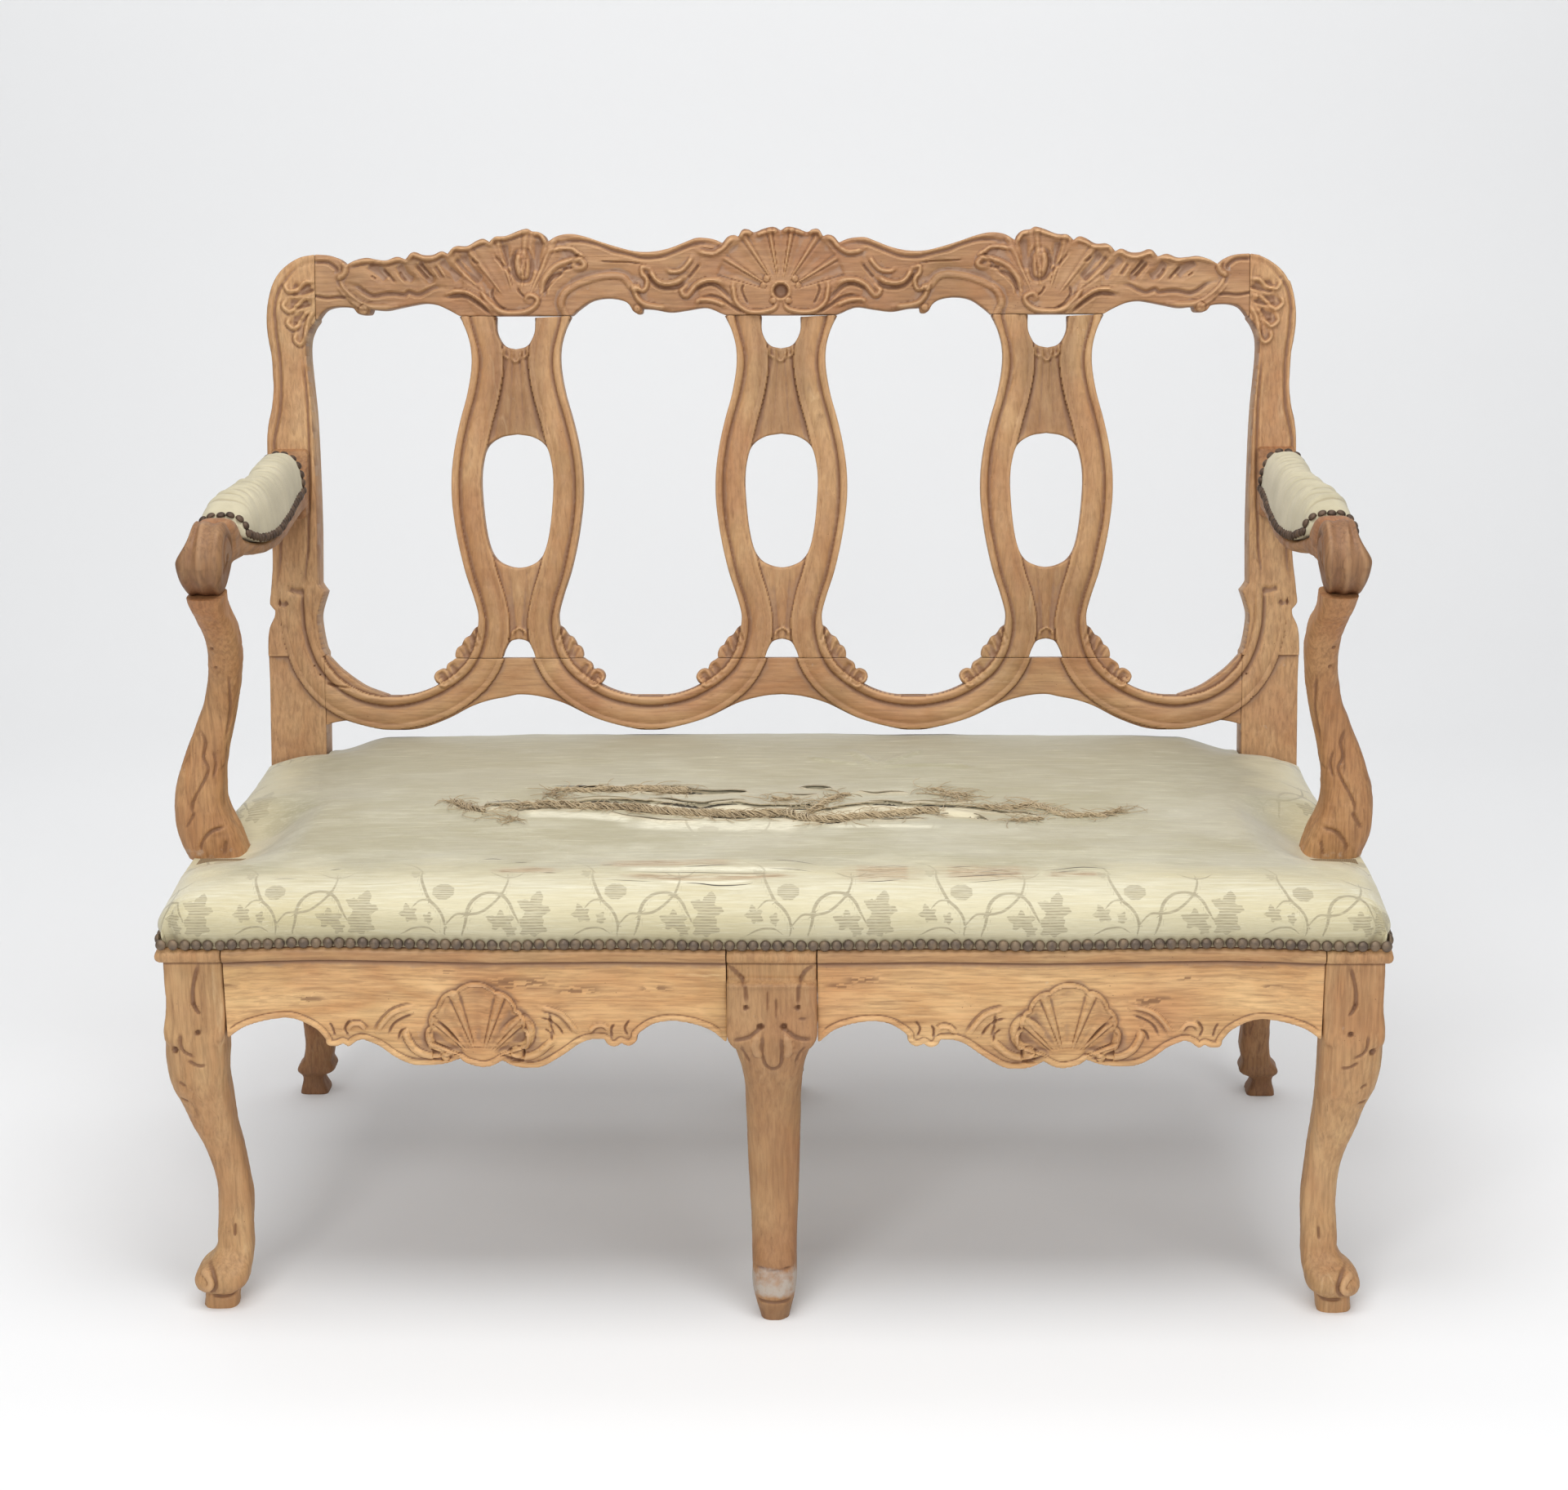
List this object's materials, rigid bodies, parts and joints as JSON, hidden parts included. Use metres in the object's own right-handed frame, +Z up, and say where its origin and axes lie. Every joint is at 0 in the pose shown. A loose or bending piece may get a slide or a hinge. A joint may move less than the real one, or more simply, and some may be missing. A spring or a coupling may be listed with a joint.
{
  "type": "cabriole settee",
  "caption": "Carved wooden settee with a pierced splat back, padded open arms, cabriole legs and an upholstered seat for two people.",
  "frame": {"origin": "on the floor, in the middle of the settee's bounding box seen from above", "axes": "+X to the right as seen from the front, +Y from the front to the back, +Z up"},
  "size_m": [1.2488, 0.6846, 1.0346],
  "materials": {
    "carved_wood": "stripped and lightly waxed, chalky residue in the carving",
    "plain_wood": "bare, sawn and planed",
    "damask_silk": "worn silk with a faded vine pattern",
    "arm_cloth": "plain finely wrinkled cloth",
    "stuffing": "matted hair",
    "jute": "coarse woven jute",
    "bronze_nails": "dark, worn, domed heads",
    "steel_screw": "dull"
  },
  "bodies": {
    "root": {"arm_cover_left": "arm_cloth", "arm_cover_right": "arm_cloth", "arm_nails_inner_left": "bronze_nails", "arm_nails_inner_right": "bronze_nails", "arm_nails_outer_left": "bronze_nails", "arm_nails_outer_right": "bronze_nails", "arm_rail_left": "carved_wood", "arm_rail_right": "carved_wood", "arm_stuffing_left": "stuffing", "arm_stuffing_right": "stuffing", "arm_support_left": "carved_wood", "arm_support_right": "carved_wood", "back_post_left": "carved_wood", "back_post_right": "carved_wood", "back_splat_centre": "carved_wood", "back_splat_left": "carved_wood", "back_splat_right": "carved_wood", "brace_screw_front_left": "steel_screw", "brace_screw_front_right": "steel_screw", "brace_screw_rear_left": "steel_screw", "brace_screw_rear_right": "steel_screw", "corner_brace_front_left": "plain_wood", "corner_brace_front_right": "plain_wood", "corner_brace_rear_left": "plain_wood", "corner_brace_rear_right": "plain_wood", "crest_rail": "carved_wood", "cross_brace": "plain_wood", "front_leg_centre": "carved_wood", "front_leg_left": "carved_wood", "front_leg_right": "carved_wood", "front_rail_left": "carved_wood", "front_rail_right": "carved_wood", "hessian": "jute", "lower_back_rail": "carved_wood", "rear_leg_centre": "plain_wood", "rear_rail_left": "plain_wood", "rear_rail_right": "plain_wood", "seat_cover": "damask_silk", "seat_nails_front": "bronze_nails", "seat_nails_left": "bronze_nails", "seat_nails_rear": "bronze_nails", "seat_nails_right": "bronze_nails", "seat_stuffing": "stuffing", "side_rail_left": "carved_wood", "side_rail_right": "carved_wood", "webbing_cross_1": "jute", "webbing_cross_2": "jute", "webbing_cross_3": "jute", "webbing_cross_4": "jute", "webbing_cross_5": "jute", "webbing_cross_6": "jute", "webbing_long_1": "jute", "webbing_long_2": "jute"}
  },
  "joints": []
}
